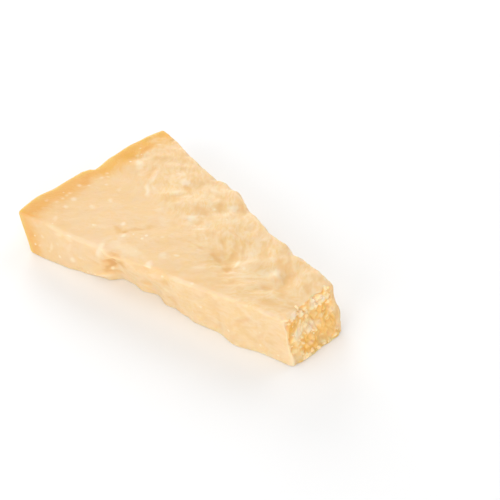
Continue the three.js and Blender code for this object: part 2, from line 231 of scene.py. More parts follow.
# %% [markdown]
# ## Noise
#
# Every uneven form comes from one small noise: random heights on a grid, eased from one to
# the next. It needs no random numbers that change from run to run, because each grid
# corner's height is worked out from its own place.


# %% Noise in two and three directions
def mix(a, b, t):
    return a + (b - a) * t


def smooth(low, high, x):
    t = np.clip((x - low) / (high - low), 0, 1)
    return t * t * (3 - 2 * t)


def scatter(i, j, seed):
    """A number from 0 to 1 for a grid corner. It looks random, but a corner always gets the same one."""
    raw = np.sin(i * 127.1 + j * 311.7 + seed * 74.7) * 43758.5453
    return raw - np.floor(raw)


def hills(x, y, seed):
    """Smooth noise from -1 to 1 whose hills are one unit apart."""
    i, j = np.floor(x), np.floor(y)
    ex, ey = smooth(0, 1, x - i), smooth(0, 1, y - j)
    low = mix(scatter(i, j, seed), scatter(i + 1, j, seed), ex)
    high = mix(scatter(i, j + 1, seed), scatter(i + 1, j + 1, seed), ex)
    return 2 * mix(low, high, ey) - 1


def layered_hills(x, y, size, layers, seed):
    """Hills of the given size with finer ones on them."""
    total = 0
    for k in range(layers):
        finer = 2**k / size
        total = total + hills(x * finer + 17.3 * k, y * finer - 9.1 * k, seed + k) / 2**k
    return total


def hills_in_space(points, size, seed):
    """The same noise in three directions, for a relief that runs round an edge unbroken."""
    p = points / size
    cell = np.floor(p)
    ease = smooth(0, 1, p - cell)
    i, j, k = cell.T
    floors = []
    for step in (0, 1):
        level = seed + 19.19 * (k + step)
        near = mix(scatter(i, j, level), scatter(i + 1, j, level), ease[:, 0])
        far = mix(scatter(i, j + 1, level), scatter(i + 1, j + 1, level), ease[:, 0])
        floors.append(mix(near, far, ease[:, 1]))
    return 2 * mix(*floors, ease[:, 2]) - 1


def lumps_in_space(points, size, seed):
    """Splits space into uneven lumps: each one's own number, and a value that grows from 0 at its border."""
    p = points / size
    base = np.floor(p)
    near, second, lot = np.full(len(p), 9.0), np.full(len(p), 9.0), np.zeros(len(p))
    for step in np.ndindex(3, 3, 3):
        i, j, k = (base + step - 1).T
        centre = np.stack([c + scatter(i + 31 * k, j, seed + n) for n, c in enumerate((i, j, k))], axis=1)
        away = np.linalg.norm(p - centre, axis=1)
        second = np.where(away < near, near, np.minimum(second, away))
        lot = np.where(away < near, scatter(i + 31 * k, j, seed + 3), lot)
        near = np.minimum(near, away)
    return lot, smooth(0.0, 0.5, second - near)


print("noise at one place:", round(float(hills(np.array(3.3), np.array(7.8), 1)), 4))

# %% [markdown]
# ## Outlines and relief
#
# A real wedge is split out of the wheel with a blunt almond-shaped knife, so the paste
# breaks rather than slices. The faces follow the plain sector only roughly. Each outline is
# a short list of places and offsets, eased from one to the next, and each face has its own
# waves: drawn out along the curd's grain on top, shorter on the sides, faint near the rind.


# %% Outlines
def through(outline, place):
    """The value of an outline at each place, eased from one turning point to the next."""
    at, value = np.array(outline, float).T
    place = np.clip(place, at[0], at[-1])
    k = np.clip(np.searchsorted(at, place, side="right") - 1, 0, len(at) - 2)
    return mix(value[k], value[k + 1], smooth(0, 1, (place - at[k]) / (at[k + 1] - at[k])))


def half_width(along):
    return (WHEEL_RADIUS - along) * OPENING / 2


def thickness(along):
    return mix(THICK_AT_RIND, THICK_AT_BREAK, np.clip(along / LENGTH, 0, 1))


def side_outline(foot, top, along, rise):
    return mix(through(foot, along), through(top, along), smooth(0, 0.85, rise))


def break_lean(across, rise):
    """How far the break stands out beyond its upper edge."""
    return through(BREAK_FOOT, across) * (1 - rise)


def foot_inset(up):
    """The inset that rounds the edge on the table."""
    below = np.clip(1 - up / FOOT_EDGE, 0, 1)
    return FOOT_EDGE * (1 - np.sqrt(1 - below * below))


# %% Relief of each face
def dents(places, x, y):
    total = 0
    for (at_x, at_y), (reach_x, reach_y), depth in places:
        total = total + depth * np.exp(-(((x - at_x) / reach_x) ** 2) - ((y - at_y) / reach_y) ** 2)
    return total


def roughness(along, across):
    """0 in the calm corner by the rind's front end, 1 where the curd has torn."""
    return smooth(40, 78, along + 2.5 * across)


def top_relief(along, across):
    c, s = math.cos(GRAIN_TURN), math.sin(GRAIN_TURN)
    bend = 3 * layered_hills(along, across, 22, 2, 21)
    with_grain = (along * c + across * s) / GRAIN_STRETCH
    over_grain = across * c - along * s + bend
    rough = roughness(along, across)
    waves = 0.55 * layered_hills(with_grain, over_grain, 7, 2, 11) * mix(0.15, 1, rough)
    swell = 0.7 * layered_hills(along, across, 24, 1, 31) * mix(0.35, 1, rough)
    return waves + swell - dents(TOP_DENTS, along, across)


def front_relief(along, up):
    rough = smooth(34, 60, along)
    return 0.5 * layered_hills(along, up, 8, 2, 3) * mix(0.25, 1, rough) - dents(FRONT_DENTS, along, up)


def back_relief(along, up):
    rough = smooth(30, 56, along)
    return 0.7 * layered_hills(along, up, 9, 2, 7) * mix(0.2, 1, rough) - dents(BACK_DENTS, along, up)


def rind_relief(across, up):
    return 0.25 * layered_hills(across, up, 12, 2, 5)


def break_relief(across, up):
    return 0.9 * layered_hills(across, up, 5, 2, 9) - 0.5


# %% [markdown]
# ## The body
#
# The body is the skin of a box, divided finely and evenly, with extra rows at its edges so
# that they turn round. One function puts every point of that skin on a plain slab with
# rounded edges, and the next carries it to the wedge. This could be modelled by hand with
# subdivision and sculpting, but functions keep every face tied to the named sizes above.


# %% Rows: even in the middle, crowded where an edge turns
def rows(count, low_edge, high_edge, turning=5):
    """Pairs (share of the way, millimetres beyond it) for each row, from the low end to the high end."""
    turn = np.linspace(0, math.pi / 2, turning + 1)[:-1]
    share, beyond = list(np.linspace(0, 1, count + 1)), [0.0] * (count + 1)
    if low_edge:
        share = [0.0] * turning + share
        beyond = list(-low_edge * np.cos(turn)) + beyond
    if high_edge:
        share = share + [1.0] * turning
        beyond = beyond + list(high_edge * np.cos(turn[::-1]))
    return np.array(share), np.array(beyond)


ALONG_ROWS = rows(232, EDGE, EDGE)
ACROSS_ROWS = rows(100, EDGE, EDGE)
UP_ROWS = rows(54, 0, EDGE)


# %% The skin of a finely divided box
def box_skin(counts):
    """The whole-numbered places of a box's surface points and its four-sided faces, seen from outside."""
    surface = np.ones([n + 1 for n in counts], bool)
    surface[1:-1, 1:-1, 1:-1] = False
    number = np.full(surface.shape, -1)
    number[surface] = np.arange(surface.sum())
    faces = []
    for sheet, flip in (
        (number[:, :, -1], False), (number[:, :, 0], True),
        (number[:, 0, :], False), (number[:, -1, :], True),
        (number[-1, :, :], False), (number[0, :, :], True),
    ):
        corners = [sheet[:-1, :-1], sheet[1:, :-1], sheet[1:, 1:], sheet[:-1, 1:]]
        quads = np.stack(corners, axis=-1).reshape(-1, 4)
        faces.append(quads[:, ::-1] if flip else quads)
    return np.argwhere(surface), np.concatenate(faces)


places, faces = box_skin([len(r[0]) - 1 for r in (ALONG_ROWS, ACROSS_ROWS, UP_ROWS)])
print("the skin has", len(places), "points and", len(faces), "faces")


# %% The plain slab, with rounded edges
def on_slab(places):
    """Gives each place on the slab as [along, across, up], the way it faces, and the thickness there."""
    (u, du), (v, dv), (w, dw) = ALONG_ROWS, ACROSS_ROWS, UP_ROWS
    i, j, k = places.T
    flat = mix(EDGE, LENGTH - EDGE, u[i]) + du[i]
    half, thick = half_width(flat), thickness(flat)
    y = mix(EDGE - half, half - EDGE, v[j]) + dv[j]
    z = (thick - EDGE) * w[k] + dw[k]
    corner = np.stack([flat, y, z], axis=1)
    low = np.stack([np.full_like(flat, EDGE), EDGE - half, np.zeros_like(flat)], axis=1)
    high = np.stack([np.full_like(flat, LENGTH - EDGE), half - EDGE, thick - EDGE], axis=1)
    core = np.clip(corner, low, high)
    outward = corner - core
    beyond = np.abs(outward).max(axis=1, keepdims=True)  # less than EDGE only inside the underside's border
    outward /= np.maximum(np.linalg.norm(outward, axis=1, keepdims=True), 1e-9)
    return core + beyond * outward, outward, thick


# %% Carry the slab to the wedge
def on_wedge(slab, outward, thick):
    """Bends the slab to the outlines, and lays each face's relief on it."""
    # The leaning ends, and the rind's uneven rim
    rise = np.clip(slab[:, 2] / thick, 0, 1)
    near_rind = np.clip(1 - slab[:, 0] / RIND_REACH, 0, 1) ** 2
    rim = through(RIND_TOP, slab[:, 1]) * smooth(0.1, 1, rise) - RIND_LEAN * (1 - rise) ** 1.4
    foot = foot_inset(slab[:, 2])
    share = slab[:, 0] / LENGTH
    lean = break_lean(slab[:, 1], rise) * share**2
    along = slab[:, 0] - rim * near_rind + lean + foot * (1 - 2 * share) ** 3

    # The wavy outlines of the long sides
    front_side = side_outline(FRONT_FOOT, FRONT_TOP, along, rise)
    back_side = side_outline(BACK_FOOT, BACK_TOP, along, rise)
    side = np.where(slab[:, 1] < 0, front_side, back_side)
    across = slab[:, 1] * (1 + (side - foot) / half_width(along))

    # Each face's own relief, blended over the edges
    up = slab[:, 2]
    endwise, sidewise, upward = outward.T
    from_foot = smooth(0, 3, up)
    raised = up + upward**2 * top_relief(along, across)
    side_relief = np.where(sidewise < 0, front_relief(along, up), back_relief(along, up))
    across = across + np.sign(sidewise) * sidewise**2 * side_relief * from_foot
    end_relief = np.where(endwise < 0, rind_relief(across, up), break_relief(across, up))
    along = along + np.sign(endwise) * endwise**2 * end_relief * from_foot
    return np.stack([along, across, np.where(up > 0, raised, 0)], axis=1)


def in_frame(wedge_points):
    """Turns [along, across, up] into x, y and z."""
    along, across, up = wedge_points.T
    radius = WHEEL_RADIUS - along
    turn = across / radius
    x = WHEEL_CENTRE[0] - radius * np.cos(turn)
    y = WHEEL_CENTRE[1] + radius * np.sin(turn)
    return np.stack([x, y, up], axis=1)


slab, outward, thick = on_slab(places)
wedge_points = on_wedge(slab, outward, thick)
points = in_frame(wedge_points)
print("the body measures", np.ptp(points, axis=0).round(1), "mm")

# %% [markdown]
# ## The torn surface
#
# Close up, the split paste is uneven: shallow waves drawn out along the grain, and hollows
# where flakes came away. The broken end is all lumps, with gaps between them. Both are too
# fine for the plain form, so they are pushed in and out along each point's own normal. That
# way the relief runs over an edge without a break. The marks are kept as attributes as well,
# because the paste is amber in its hollows and pale on its ridges; part of that amber is
# painted shade, and the pale line at its split edges is a painted highlight.


# %% Helpers for the fine relief
def normals_of(points, faces):
    """The direction each point of a closed skin faces."""
    corners = points[faces]
    flat = np.cross(corners[:, 2] - corners[:, 0], corners[:, 3] - corners[:, 1])
    total = np.zeros_like(points)
    for corner in range(4):
        np.add.at(total, faces[:, corner], flat)
    return total / np.linalg.norm(total, axis=1, keepdims=True)


def grain_space(points, turn):
    """Space turned and squeezed so that round noise comes out drawn along the grain."""
    c, s = math.cos(turn), math.sin(turn)
    x, y, z = points.T
    return np.stack([(x * c + y * s) / GRAIN_STRETCH, y * c - x * s, z], axis=1)


RAGGED = 0.45  # how far a mark's outline strays, as a share of its shorter reach


def marks(places, x, y, seed):
    """How strongly each point lies in a mark: fully in its middle, and not at all outside its outline."""
    stray_x, stray_y = layered_hills(x, y, 2.6, 2, seed), layered_hills(x, y, 2.6, 2, seed + 5)
    total = np.zeros(len(x))
    for (at_x, at_y), (long, short), degrees, strength in places:
        c, s = math.cos(math.radians(degrees)), math.sin(math.radians(degrees))
        dx, dy = x - at_x + RAGGED * short * stray_x, y - at_y + RAGGED * short * stray_y
        away = np.hypot((dx * c + dy * s) / long, (dy * c - dx * s) / short)
        total = np.maximum(total, strength * (1 - smooth(0.3, 1.5, away)))
    return total


# %% Where each kind of surface lies
FACING = 0.6  # how squarely a point faces a way when it belongs to that face, from 0 to 1
along, across, up = wedge_points.T
endwise, sidewise, upward = outward.T
on_top, on_front, on_break = upward > FACING, sidewise < -FACING, endwise > FACING
under = places[:, 2] == 0
torn = np.where(upward > 0.5, roughness(along, across), smooth(34, 60, along) * 0.6)
rind_face = smooth(0.5, 1, -endwise)
back_grain = smooth(-6, 6, across)
gap_side = half_width(slab[:, 0]) - np.abs(slab[:, 1])
gap_top = thickness(slab[:, 0]) - slab[:, 2]
gap_end = LENGTH - slab[:, 0]
top_edge, end_edge = np.hypot(gap_side, gap_top), np.hypot(gap_end, np.minimum(gap_side, gap_top))
ragged = through(BREAK_BORDER, across) + 0.7 * hills(across / 1.1, across * 0, 88)
broken = np.maximum(smooth(0.3, 0.8, endwise), on_top) * smooth(-0.4, 0.4, ragged - gap_end + gap_top)
print("top", int(on_top.sum()), "front", int(on_front.sum()), "break", int(on_break.sum()), "points")

# %% Amber and pale marks
smooth_here = np.minimum(marks(BREAK_SMOOTH, across, up, 91), 1) * on_break
from_back_corner = smooth(1.2, 3.2, half_width(LENGTH) - slab[:, 1])
broken = broken * (1 - smooth_here) * mix(0.3, 1, from_back_corner)
amber = marks(TOP_AMBER, along, across, 101) * on_top + marks(FRONT_AMBER, along, up, 111) * on_front
amber = amber + marks(BREAK_AMBER, across, up, 121) * on_break
golden_corner = smooth(131, 135, along) * (sidewise > 0.5)  # on the back side, beside the break
amber = np.maximum(amber, 0.6 * golden_corner)
pale = marks(TOP_PALE, along, across, 131) * on_top + marks(FRONT_PALE, along, up, 141) * on_front
pale = pale + marks(BREAK_PALE, across, up, 151) * on_break
dots = [(place, DOT_REACH, 0, DOT_STRENGTH) for place in BAND_DOTS]
pale = np.maximum(pale, marks(dots, along, across, 161) * on_top)

# %% The painted highlight along a split edge
# A pale line along the upper edges and along the break's edge, stronger on the front side and weaker over
# the front pit: a painted highlight where the rounded edges catch the light. It is laid into the pale marks.
uneven = 0.75 + 0.5 * hills(along / 6, across / 6, 171)
edge_highlight = np.exp(-(((top_edge - 0.8) / 0.95) ** 2)) * np.where(sidewise < 0, 0.6, 0.3) * smooth(6, 12, along)
edge_highlight = edge_highlight * (1 - 0.85 * smooth(46, 52, along) * smooth(84, 72, along) * (sidewise < 0))
end_edge_highlight = np.exp(-(((end_edge - 0.6) / 1.2) ** 2)) * np.where(sidewise < -0.3, 0.7, 0.4) * (across < 9)
pale = np.clip(np.maximum(pale, np.maximum(edge_highlight, end_edge_highlight) * uneven), 0, 1)
pale = np.where(np.abs(sidewise) > FACING, np.maximum(pale, 0.14), pale)  # the sides are a little paler
print("pale points", int((pale > 0.5).sum()), "amber points", int((amber > 0.5).sum()))

# %% How deep the fine relief goes
LUMP_SIZE = 2.9  # of the lumps on the broken end
LUMP_DEPTH = 0.65
FLAKE_DEPTH = 0.8  # of the chips along the upper edges
FRONT_DIG, OTHER_DIG, BREAK_DIG = 0.7, 0.25, 0.6  # of the amber marks, by face
PALE_RISE = 0.12  # of the pale marks

# %% Push the relief into the skin
front_space, back_space = grain_space(points, GRAIN_TURN), grain_space(points, BACK_GRAIN_TURN)


def drawn_hills(size, seed):
    """Noise drawn out along the grain, which runs another way on the back half."""
    front, back = hills_in_space(front_space, size, seed), hills_in_space(back_space, size, seed + 1)
    return mix(front, back, back_grain)


coarse, middle, fine = drawn_hills(4.4, 71), drawn_hills(2.2, 73), drawn_hills(1.1, 75)
lot, lump = lumps_in_space(points, LUMP_SIZE, 85)
crumbly = lump * (0.6 + 0.8 * lot) - 0.8 + 0.25 * hills_in_space(points, 1.3, 79)
split_relief = mix(0.03, 0.06, torn) * coarse + mix(0.02, 0.08, torn) * middle
split_relief = split_relief + mix(0.01, 0.06, torn) * fine
depth = mix(split_relief, LUMP_DEPTH * crumbly, broken) * mix(1, 0.35, rind_face)
dig = mix(np.where(on_front, FRONT_DIG, OTHER_DIG), BREAK_DIG, broken)
depth = depth - dig * amber * smooth(12, 16, along) + PALE_RISE * pale * (1 - broken)
chipped = np.exp(-((top_edge / 2.2) ** 2)) * mix(0.25, 1, torn) * (1 - rind_face)
flakes = smooth(0, 0.8, hills_in_space(points, 3.6, 81) + 0.4 * hills_in_space(points, 1.6, 83))
depth = depth - FLAKE_DEPTH * chipped * flakes
from_border = np.minimum(gap_side, np.minimum(slab[:, 0], gap_end))
depth = np.where(under, -np.abs(depth) * smooth(0, 4, from_border), depth * smooth(0, 1.2, up))
points = points + normals_of(points, faces) * depth[:, None]
points[:, 2] = np.where(under, np.abs(depth), np.maximum(points[:, 2], 0))
print("relief from", depth.min().round(2), "to", depth.max().round(2), "mm")

# %% What the paste's colour follows, with painted shade in the relief's hollows and painted light on its crests
# This value rises and falls with the fine relief, so the colours picked by it paint shade into the hollows
# and light onto the crests. On the broken end it follows the lumps, lowest in the gaps between them, with
# broad patches of the paste's own colour added.
tone = (0.7 * coarse + 0.7 * middle + mix(0.3, 0.6, torn) * fine) * mix(0.55, 1, torn)
tone = mix(tone, 1.2 * crumbly + 0.35 + 1.6 * hills_in_space(points, 4.5, 77), broken)


# %% Make the mesh
def mesh_from(name, points, faces):
    mesh = bpy.data.meshes.new(name)
    mesh.from_pydata(points * MM, [], faces.tolist())
    mesh.update()
    return mesh


def keep(mesh, **attributes):
    """Keeps a number for each point under a name that a material can read."""
    for name, values in attributes.items():
        numbers = mesh.attributes.new(name, "FLOAT", "POINT")
        numbers.data.foreach_set("value", np.asarray(values, np.float32))


def show(name, mesh):
    thing = bpy.data.objects.new(name, mesh)
    bpy.context.scene.collection.objects.link(thing)
    return thing


from_rind = slab[:, 0] + 2.5 * sidewise**2 * smooth(2, 5, slab[:, 0])  # the band is narrower on the sides
from_rind = np.where(endwise < -0.7, np.minimum(from_rind, 0.3), from_rind)
body_mesh = mesh_from("cheese_body", points, faces)
body_mesh.shade_smooth()
keep(body_mesh, from_rind=from_rind, on_break=on_break, torn=torn, tone=tone)
keep(body_mesh, amber=amber, pale=pale, broken=broken, back_grain=back_grain)
body = show("cheese_body", body_mesh)
print("body:", len(body_mesh.polygons) * 2, "triangles")

# %% [markdown]
# ## Paste
#
# Aged paste is pale straw with faint streaks, amber near the rind and in its hollows, where
# part of the amber is painted shade, and dotted with small white crystals. Its low places also
# get painted shade, and its crests and split edges painted light. It lets light in a few
# millimetres deep, so it has subsurface scattering. Its streaks, patches, crystals and grit
# make a shader group of their own, because the crumbs' paste needs the grit as well.


# %% Helpers for node trees
def add(tree, kind, inputs=None, **settings):
    """Adds a node with its settings and inputs. An input is a number, a colour or another node's output."""
    node = tree.nodes.new(kind)
    for name, value in settings.items():
        setattr(node, name, value)
    for name, value in (inputs or {}).items():
        socket = node.inputs[name]
        if isinstance(value, bpy.types.NodeSocket):
            tree.links.new(value, socket)
        else:
            socket.default_value = value
    return node


def maths(tree, operation, a, b):
    return add(tree, "ShaderNodeMath", {0: a, 1: b}, operation=operation).outputs[0]


def times(tree, a, b):
    return maths(tree, "MULTIPLY", a, b)


def plus(tree, a, b):
    return maths(tree, "ADD", a, b)


def noise(tree, place, scale, detail, roughness=0.5, output="Fac"):
    given = {"Vector": place, "Scale": scale, "Detail": detail, "Roughness": roughness}
    return add(tree, "ShaderNodeTexNoise", given).outputs[output]


def ramp(tree, value, low, high, to_low=0.0, to_high=1.0):
    """Eases a value from one range to another."""
    given = {"Value": value, "From Min": low, "From Max": high, "To Min": to_low, "To Max": to_high}
    return add(tree, "ShaderNodeMapRange", given, interpolation_type="SMOOTHSTEP").outputs["Result"]


def blend(tree, factor, a, b):
    """Mixes two colours."""
    node = tree.nodes.new("ShaderNodeMix")
    node.data_type = "RGBA"
    for place, value in ((0, factor), (6, a), (7, b)):
        if isinstance(value, bpy.types.NodeSocket):
            tree.links.new(value, node.inputs[place])
        else:
            node.inputs[place].default_value = value
    return node.outputs[2]


def layered(tree, colour, layers):
    """Lays colours over one another, each as strongly as the value before it says."""
    for strength, over in layers:
        colour = blend(tree, strength, colour, over)
    return colour


def attribute(tree, name):
    return add(tree, "ShaderNodeAttribute", attribute_name=name).outputs["Fac"]


# %% The curd's streaks and crystals, as a group
curd = bpy.data.node_groups.new("curd", "ShaderNodeTree")
for name, kind in (("Place", "Vector"), ("Back Grain", "Float")):
    curd.interface.new_socket(name, in_out="INPUT", socket_type="NodeSocket" + kind)
for name in ("Streaks", "Mottle", "Blush", "Crystals", "Grit"):
    curd.interface.new_socket(name, in_out="OUTPUT", socket_type="NodeSocketFloat")
given = curd.nodes.new("NodeGroupInput").outputs
result = curd.nodes.new("NodeGroupOutput").inputs

bend = noise(curd, given["Place"], 0.08, 2.0, output="Color")
bend = add(curd, "ShaderNodeVectorMath", {0: bend, 1: (9.0, 9.0, 9.0)}, operation="MULTIPLY").outputs[0]
bent = add(curd, "ShaderNodeVectorMath", {0: given["Place"], 1: bend}, operation="ADD").outputs[0]
drawn, broad = [], []
for turn in (GRAIN_TURN, BACK_GRAIN_TURN):
    about_up = {"Vector": bent, "Angle": -turn}
    turned = add(curd, "ShaderNodeVectorRotate", about_up, rotation_type="Z_AXIS").outputs[0]
    squeezed = add(curd, "ShaderNodeMapping", {"Vector": turned, "Scale": (0.28, 1, 1)}).outputs[0]
    drawn.append(noise(curd, squeezed, 0.75, 3.0, 0.6))
    broad.append(noise(curd, squeezed, 0.22, 2.0))


def by_half(front, back):
    """The front half's value, turning into the back half's."""
    return add(curd, "ShaderNodeMix", {0: given["Back Grain"], 2: front, 3: back}).outputs[0]


streaks, mottle = by_half(*drawn), by_half(*broad)
grit = noise(curd, given["Place"], 1.3, 2.0, 0.7)
blush = noise(curd, given["Place"], 0.17, 2.0, 0.7)
cells = add(curd, "ShaderNodeTexVoronoi", {"Vector": given["Place"], "Scale": 0.22}, feature="F1")
chosen = add(curd, "ShaderNodeSeparateColor", {"Color": cells.outputs["Color"]}).outputs[0]
crystal_size = ramp(curd, chosen, 0.6, 1.0, 0.0, 0.22)
from_middle = times(curd, cells.outputs["Distance"], plus(curd, grit, 0.5))
inside = maths(curd, "SUBTRACT", crystal_size, from_middle)
curd.links.new(ramp(curd, streaks, 0.3, 0.7), result["Streaks"])
curd.links.new(ramp(curd, mottle, 0.3, 0.7), result["Mottle"])
curd.links.new(ramp(curd, blush, 0.36, 0.64), result["Blush"])
curd.links.new(ramp(curd, inside, 0.0, 0.12), result["Crystals"])
curd.links.new(grit, result["Grit"])
print("curd group:", len(curd.nodes), "nodes")

# %% Colours of the cheese, as the light reflected in red, green and blue
STRAW = (0.764, 0.535, 0.300, 1)
PALE = (0.803, 0.584, 0.350, 1)
SUNNY = (0.790, 0.530, 0.235, 1)
BUTTER = (0.815, 0.625, 0.385, 1)
CREAM = (0.840, 0.715, 0.520, 1)
ROSY = (0.930, 0.750, 0.560, 1)
TAN = (0.735, 0.470, 0.205, 1)
OCHRE = (0.750, 0.455, 0.178, 1)
AMBER = (0.745, 0.400, 0.098, 1)
RIND = (0.725, 0.465, 0.100, 1)
HONEY = (0.745, 0.395, 0.064, 1)
GOLD = (0.700, 0.420, 0.125, 1)
HUSK = (0.610, 0.335, 0.085, 1)
RUST = (0.735, 0.360, 0.075, 1)
# for the strongest marks; in the front pit this is painted shade
BROWN = (0.660, 0.345, 0.105, 1)
CRUMB_DEEP = (0.940, 0.560, 0.170, 1)
CRUMB_MIDDLE = (0.970, 0.690, 0.340, 1)
CRUMB_PALE = (0.985, 0.770, 0.460, 1)
CRUMB_CREAM = (0.990, 0.800, 0.585, 1)
# painted shade for the gaps between the lumps on the broken end
CRUMB_GAP_SHADE = (0.840, 0.440, 0.080, 1)


# %% The parts that both pastes share
def start_paste(name):
    """A material whose curd group reads places in millimetres."""
    material = bpy.data.materials.new(name)
    material.use_nodes = True
    tree = material.node_tree
    coordinates = add(tree, "ShaderNodeTexCoord").outputs["Object"]
    place = add(tree, "ShaderNodeMapping", {"Vector": coordinates, "Scale": (1000, 1000, 1000)}).outputs[0]
    group = add(tree, "ShaderNodeGroup", node_tree=curd)
    tree.links.new(place, group.inputs["Place"])
    tree.links.new(attribute(tree, "back_grain"), group.inputs["Back Grain"])
    return material, tree, group.outputs


def finish_paste(tree, colour, height, depth, roughness, lit_through):
    """Feeds the shader, and sets how far light goes in, in millimetres."""
    shader = tree.nodes["Principled BSDF"]
    tree.links.new(colour, shader.inputs["Base Color"])
    tree.links.new(roughness, shader.inputs["Roughness"])
    bump = add(tree, "ShaderNodeBump", {"Height": height, "Strength": 0.4, "Distance": depth * MM})
    tree.links.new(bump.outputs["Normal"], shader.inputs["Normal"])
    shader.inputs["Specular IOR Level"].default_value = 0.3
    shader.inputs["Subsurface Weight"].default_value = 0.6 if lit_through else 0.0
    shader.inputs["Subsurface Radius"].default_value = (1.0, 0.6, 0.3)
    shader.inputs["Subsurface Scale"].default_value = lit_through * MM


# %% What the faces' paste follows: the kept attributes and the curd
paste, tree, curd_here = start_paste("paste")
KEPT = ("torn", "tone", "amber", "pale", "broken", "on_break", "from_rind", "back_grain")
torn_here, tone_here, amber_here, pale_here, broken_here, break_here, from_rind_here, back_here = (
    attribute(tree, name) for name in KEPT)
mottle_here, streaks_here, grit_here = (curd_here[name] for name in ("Mottle", "Streaks", "Grit"))
sun = times(tree, curd_here["Blush"], ramp(tree, torn_here, 0.0, 1.0, 0.6, 0.8))
golden = plus(tree, from_rind_here, times(tree, mottle_here, 2.0))
inward = plus(tree, from_rind_here, times(tree, mottle_here, 2.4))
inward = plus(tree, inward, times(tree, streaks_here, 1.2))
husky = plus(tree, times(tree, mottle_here, 0.5), times(tree, grit_here, 1.2))
rusty = times(tree, times(tree, amber_here, ramp(tree, from_rind_here, 12.0, 8.0)), 0.8)
whole = ramp(tree, broken_here, 0.0, 1.0, 0.9, 0.6)
crystals = times(tree, times(tree, curd_here["Crystals"], 0.8), ramp(tree, from_rind_here, 3.0, 9.0))

# %% The colours of the faces, each laid over those before it
# The broken end: paler on the lumps and deep amber in the gaps between them, painted light and painted shade
# over patches of the paste's own colour
crumb = layered(tree, CRUMB_DEEP, [
    (ramp(tree, tone_here, -0.9, 0.9), CRUMB_PALE),
    (times(tree, amber_here, 0.8), CRUMB_DEEP),
    (ramp(tree, tone_here, -0.7, -1.7), CRUMB_GAP_SHADE),
])
colour = layered(tree, STRAW, [
    (mottle_here, PALE),
    (plus(tree, sun, times(tree, torn_here, 0.2)), SUNNY),  # warm patches
    (times(tree, streaks_here, ramp(tree, torn_here, 0.0, 1.0, 0.2, 0.85)), BUTTER),  # streaks
    # Low places tan and high places buttery: painted shade in the fine relief's hollows and painted light on
    # its crests
    (ramp(tree, tone_here, 0.2, -1.4, 0.0, 0.75), TAN),  # low places
    (ramp(tree, tone_here, 0.3, 1.5, 0.0, 0.6), BUTTER),  # high places
    (ramp(tree, from_rind_here, 42.0, 8.0, 0.0, 0.45), TAN),  # deeper towards the rind
    (amber_here, OCHRE),
    # The strongest marks turn brown, chiefly in the pit above the front's broken foot: painted shade in the
    # pit over the paste's own amber
    (ramp(tree, amber_here, 0.8, 1.3), BROWN),  # the strongest marks
    (times(tree, broken_here, 0.9), crumb),
    (ramp(tree, inward, 17.0, 7.0), blend(tree, back_here, AMBER, HONEY)),  # the band by the rind
    (rusty, RUST),
    (ramp(tree, golden, 5.6, 1.4), RIND),  # its rim
    (ramp(tree, from_rind_here, 0.9, 0.3), blend(tree, ramp(tree, husky, 0.1, 1.9), GOLD, HUSK)),
    # Pale marks in cream, rosy on the break; they carry the painted highlight along the split edges as well
    (times(tree, pale_here, whole), blend(tree, ramp(tree, break_here, 0.0, 1.0), CREAM, ROSY)),
    (crystals, CREAM),
])
height = plus(tree, times(tree, grit_here, 0.5), times(tree, streaks_here, 0.5))
finish_paste(tree, colour, height, 0.3, ramp(tree, grit_here, 0.3, 0.7, 0.45, 0.65), 3.0)
body_mesh.materials.append(paste)
print("paste:", len(tree.nodes), "nodes")

# %% [markdown]
# ## Crumbs
#
# The tip was snapped off, so the end shows the cheese's grain. Its lumps are in the body's
# relief already. The crumbs that stand out from them, half a millimetre to three and a half
# across, repeat, so Geometry Nodes scatter them in patches over a copy of the end face,
# inside a smooth rim. Each one is a small ball pushed out of round and sunk into the face.
# Shaping them one by one would take long and look no truer.

# %% The paste of the crumbs
crumb_paste, tree, curd_here = start_paste("crumb_paste")
clustered = plus(tree, times(tree, attribute(tree, "crumb_lot"), 0.5), curd_here["Grit"])
colour = layered(tree, CRUMB_MIDDLE, [
    (ramp(tree, clustered, 0.3, 1.1), CRUMB_PALE),
    (attribute(tree, "pale"), CRUMB_CREAM),
    (times(tree, attribute(tree, "amber"), 0.9), CRUMB_DEEP),
])
finish_paste(tree, colour, curd_here["Grit"], 0.2, ramp(tree, curd_here["Grit"], 0.3, 0.7, 0.45, 0.6), 0.0)
print("crumb paste:", len(tree.nodes), "nodes")


